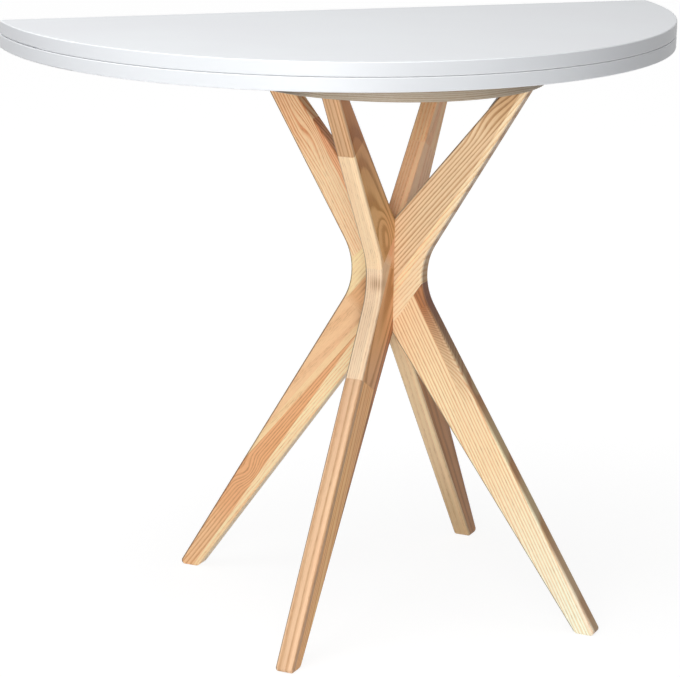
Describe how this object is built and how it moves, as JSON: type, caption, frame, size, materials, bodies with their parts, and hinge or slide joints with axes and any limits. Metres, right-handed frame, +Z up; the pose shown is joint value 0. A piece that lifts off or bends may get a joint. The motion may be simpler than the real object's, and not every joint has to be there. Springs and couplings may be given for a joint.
{
  "type": "extending half-round table",
  "caption": "Half-round table on crossed splayed legs; the doubled top swivels half a turn and its upper leaf folds over on edge hinges into a full round top.",
  "frame": {"origin": "on the floor, under the middle of the whole table seen from above", "axes": "+X to the right along the straight edge of the top, +Y to the back where the straight hinged edge is, +Z up"},
  "size_m": [0.9, 0.4566, 0.7429],
  "materials": {
    "white_lacquer": "medium-density fibreboard in satin white lacquer",
    "ash_legs": "solid ash staves, clear satin lacquer",
    "ash_plate": "solid ash, clear satin lacquer",
    "beech_dowels": "plain beech",
    "zinc_steel": "zinc plated",
    "hinge_pin_steel": "ground",
    "hinge_brass": "satin",
    "nylon": "smooth"
  },
  "bodies": {
    "base": {"long_bar_rear_left": "ash_legs", "top_arm_rear_left": "ash_legs", "foot_arm_front_right": "ash_legs", "leg_dowels_rear_left": "beech_dowels", "long_bar_front_left": "ash_legs", "top_arm_front_left": "ash_legs", "foot_arm_rear_right": "ash_legs", "leg_dowels_front_left": "beech_dowels", "support_plate": "ash_plate", "leg_screws": "zinc_steel", "glide_discs": "nylon", "pivot_bush": "nylon"},
    "lower_top": {"lower_leaf": "white_lacquer", "pivot_flange": "zinc_steel", "flange_screws": "zinc_steel", "pivot_washer": "zinc_steel", "spring_washer": "zinc_steel", "lock_nut": "zinc_steel", "stop_pin": "zinc_steel", "hinge_lower_plates": "hinge_brass", "hinge_lower_pins": "hinge_pin_steel", "hinge_lower_screws": "hinge_brass"},
    "links": {"hinge_links": "hinge_brass"},
    "upper_top": {"hinge_upper_pins": "hinge_pin_steel", "hinge_upper_plates": "hinge_brass", "hinge_upper_screws": "hinge_brass", "upper_leaf": "white_lacquer"}
  },
  "joints": [
    {"name": "top_swivel", "type": "hinge", "parent": "base", "child": "lower_top", "pos_m": [0, 0.11127, 0.7063], "axis": [0, 0, 1], "range_deg": [0, 180]},
    {"name": "link_fold", "type": "hinge", "parent": "lower_top", "child": "links", "pos_m": [0, 0.22567, 0.722], "axis": [-1, 0, 0], "range_deg": [0, 90]},
    {"name": "leaf_fold", "type": "hinge", "parent": "links", "child": "upper_top", "pos_m": [0, 0.22567, 0.7275], "axis": [-1, 0, 0], "range_deg": [0, 90]}
  ]
}
